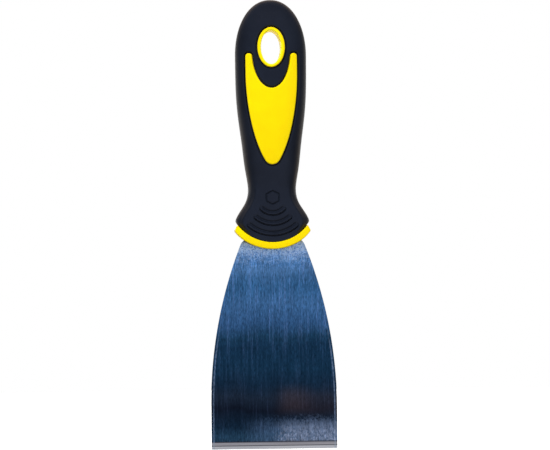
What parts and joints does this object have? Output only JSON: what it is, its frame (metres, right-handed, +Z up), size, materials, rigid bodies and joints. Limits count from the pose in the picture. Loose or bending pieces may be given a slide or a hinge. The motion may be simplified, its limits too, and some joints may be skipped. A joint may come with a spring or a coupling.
{
  "type": "taping knife",
  "caption": "Narrow filling and taping knife: flared spring-steel blade with a ground edge, hard plastic core, soft ribbed overmoulded grip and an oval hang hole.",
  "frame": {"origin": "centre of the hang hole, on the plane halfway through the blade", "axes": "+Z up the handle to its butt, so the blade's edge is at the bottom; +Y through the knife, from its front face to its back; +X across the blade"},
  "size_m": [0.06, 0.0218, 0.2138],
  "materials": {
    "blade_steel": "brushed along the blade, ground bright at the bevel",
    "hard_plastic": "smooth semi-gloss",
    "soft_rubber": "fine matt texture"
  },
  "bodies": {
    "root": {"blade": "blade_steel", "handle_core": "hard_plastic", "soft_grip": "soft_rubber"}
  },
  "joints": []
}
